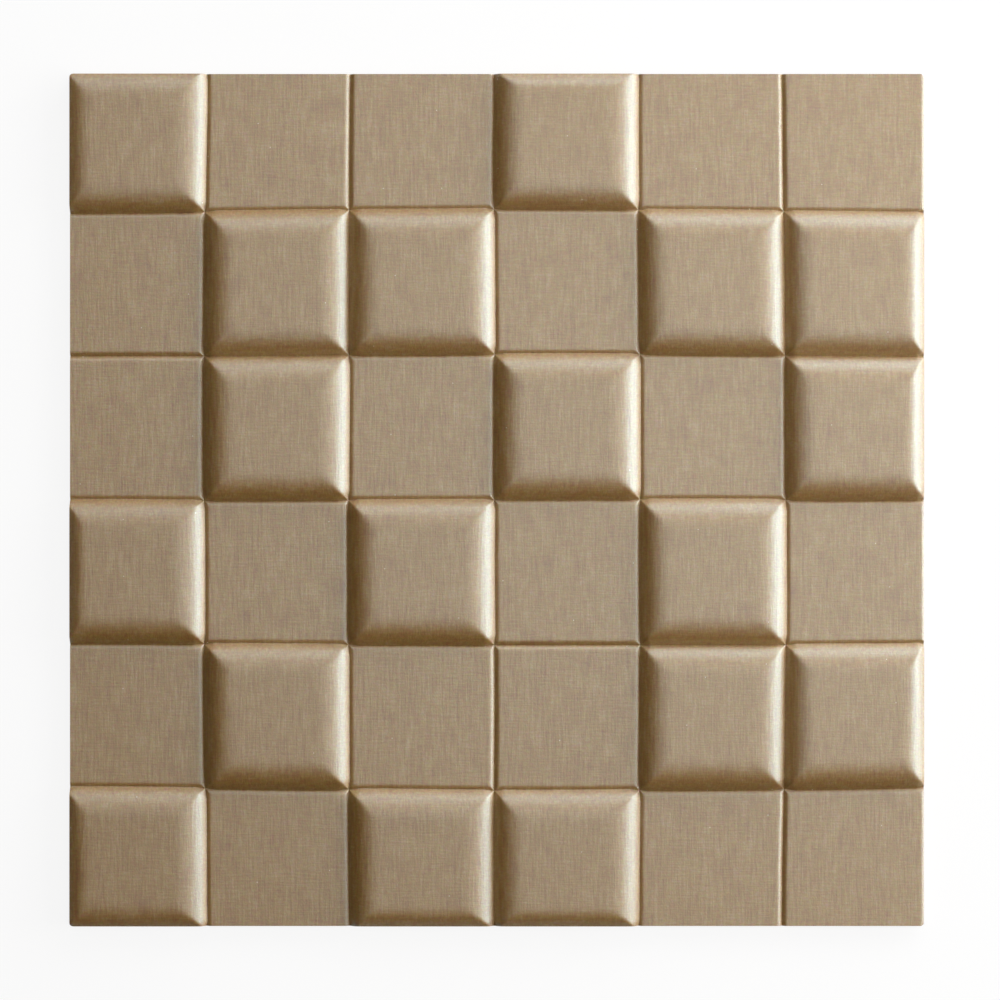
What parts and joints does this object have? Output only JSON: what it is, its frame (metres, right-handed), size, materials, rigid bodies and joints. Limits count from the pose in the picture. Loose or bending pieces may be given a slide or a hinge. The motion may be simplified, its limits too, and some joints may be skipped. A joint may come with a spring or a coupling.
{
  "type": "3d wall panel tile",
  "caption": "Square decorative wall tile moulded in one piece, with raised bevelled cushions and lower flats set out in a grid of pressed grooves.",
  "frame": {"origin": "centre of the flat back face, which is glued to the wall", "axes": "+Z out of the moulded face, +Y towards the tile's top edge as it hangs, +X to the right seen from the front"},
  "size_m": [0.3, 0.2992, 0.009],
  "materials": {
    "champagne_leatherette": "metallic champagne facing with an embossed linen grain, satin"
  },
  "bodies": {
    "root": {"wall_panel_tile": "champagne_leatherette"}
  },
  "joints": []
}
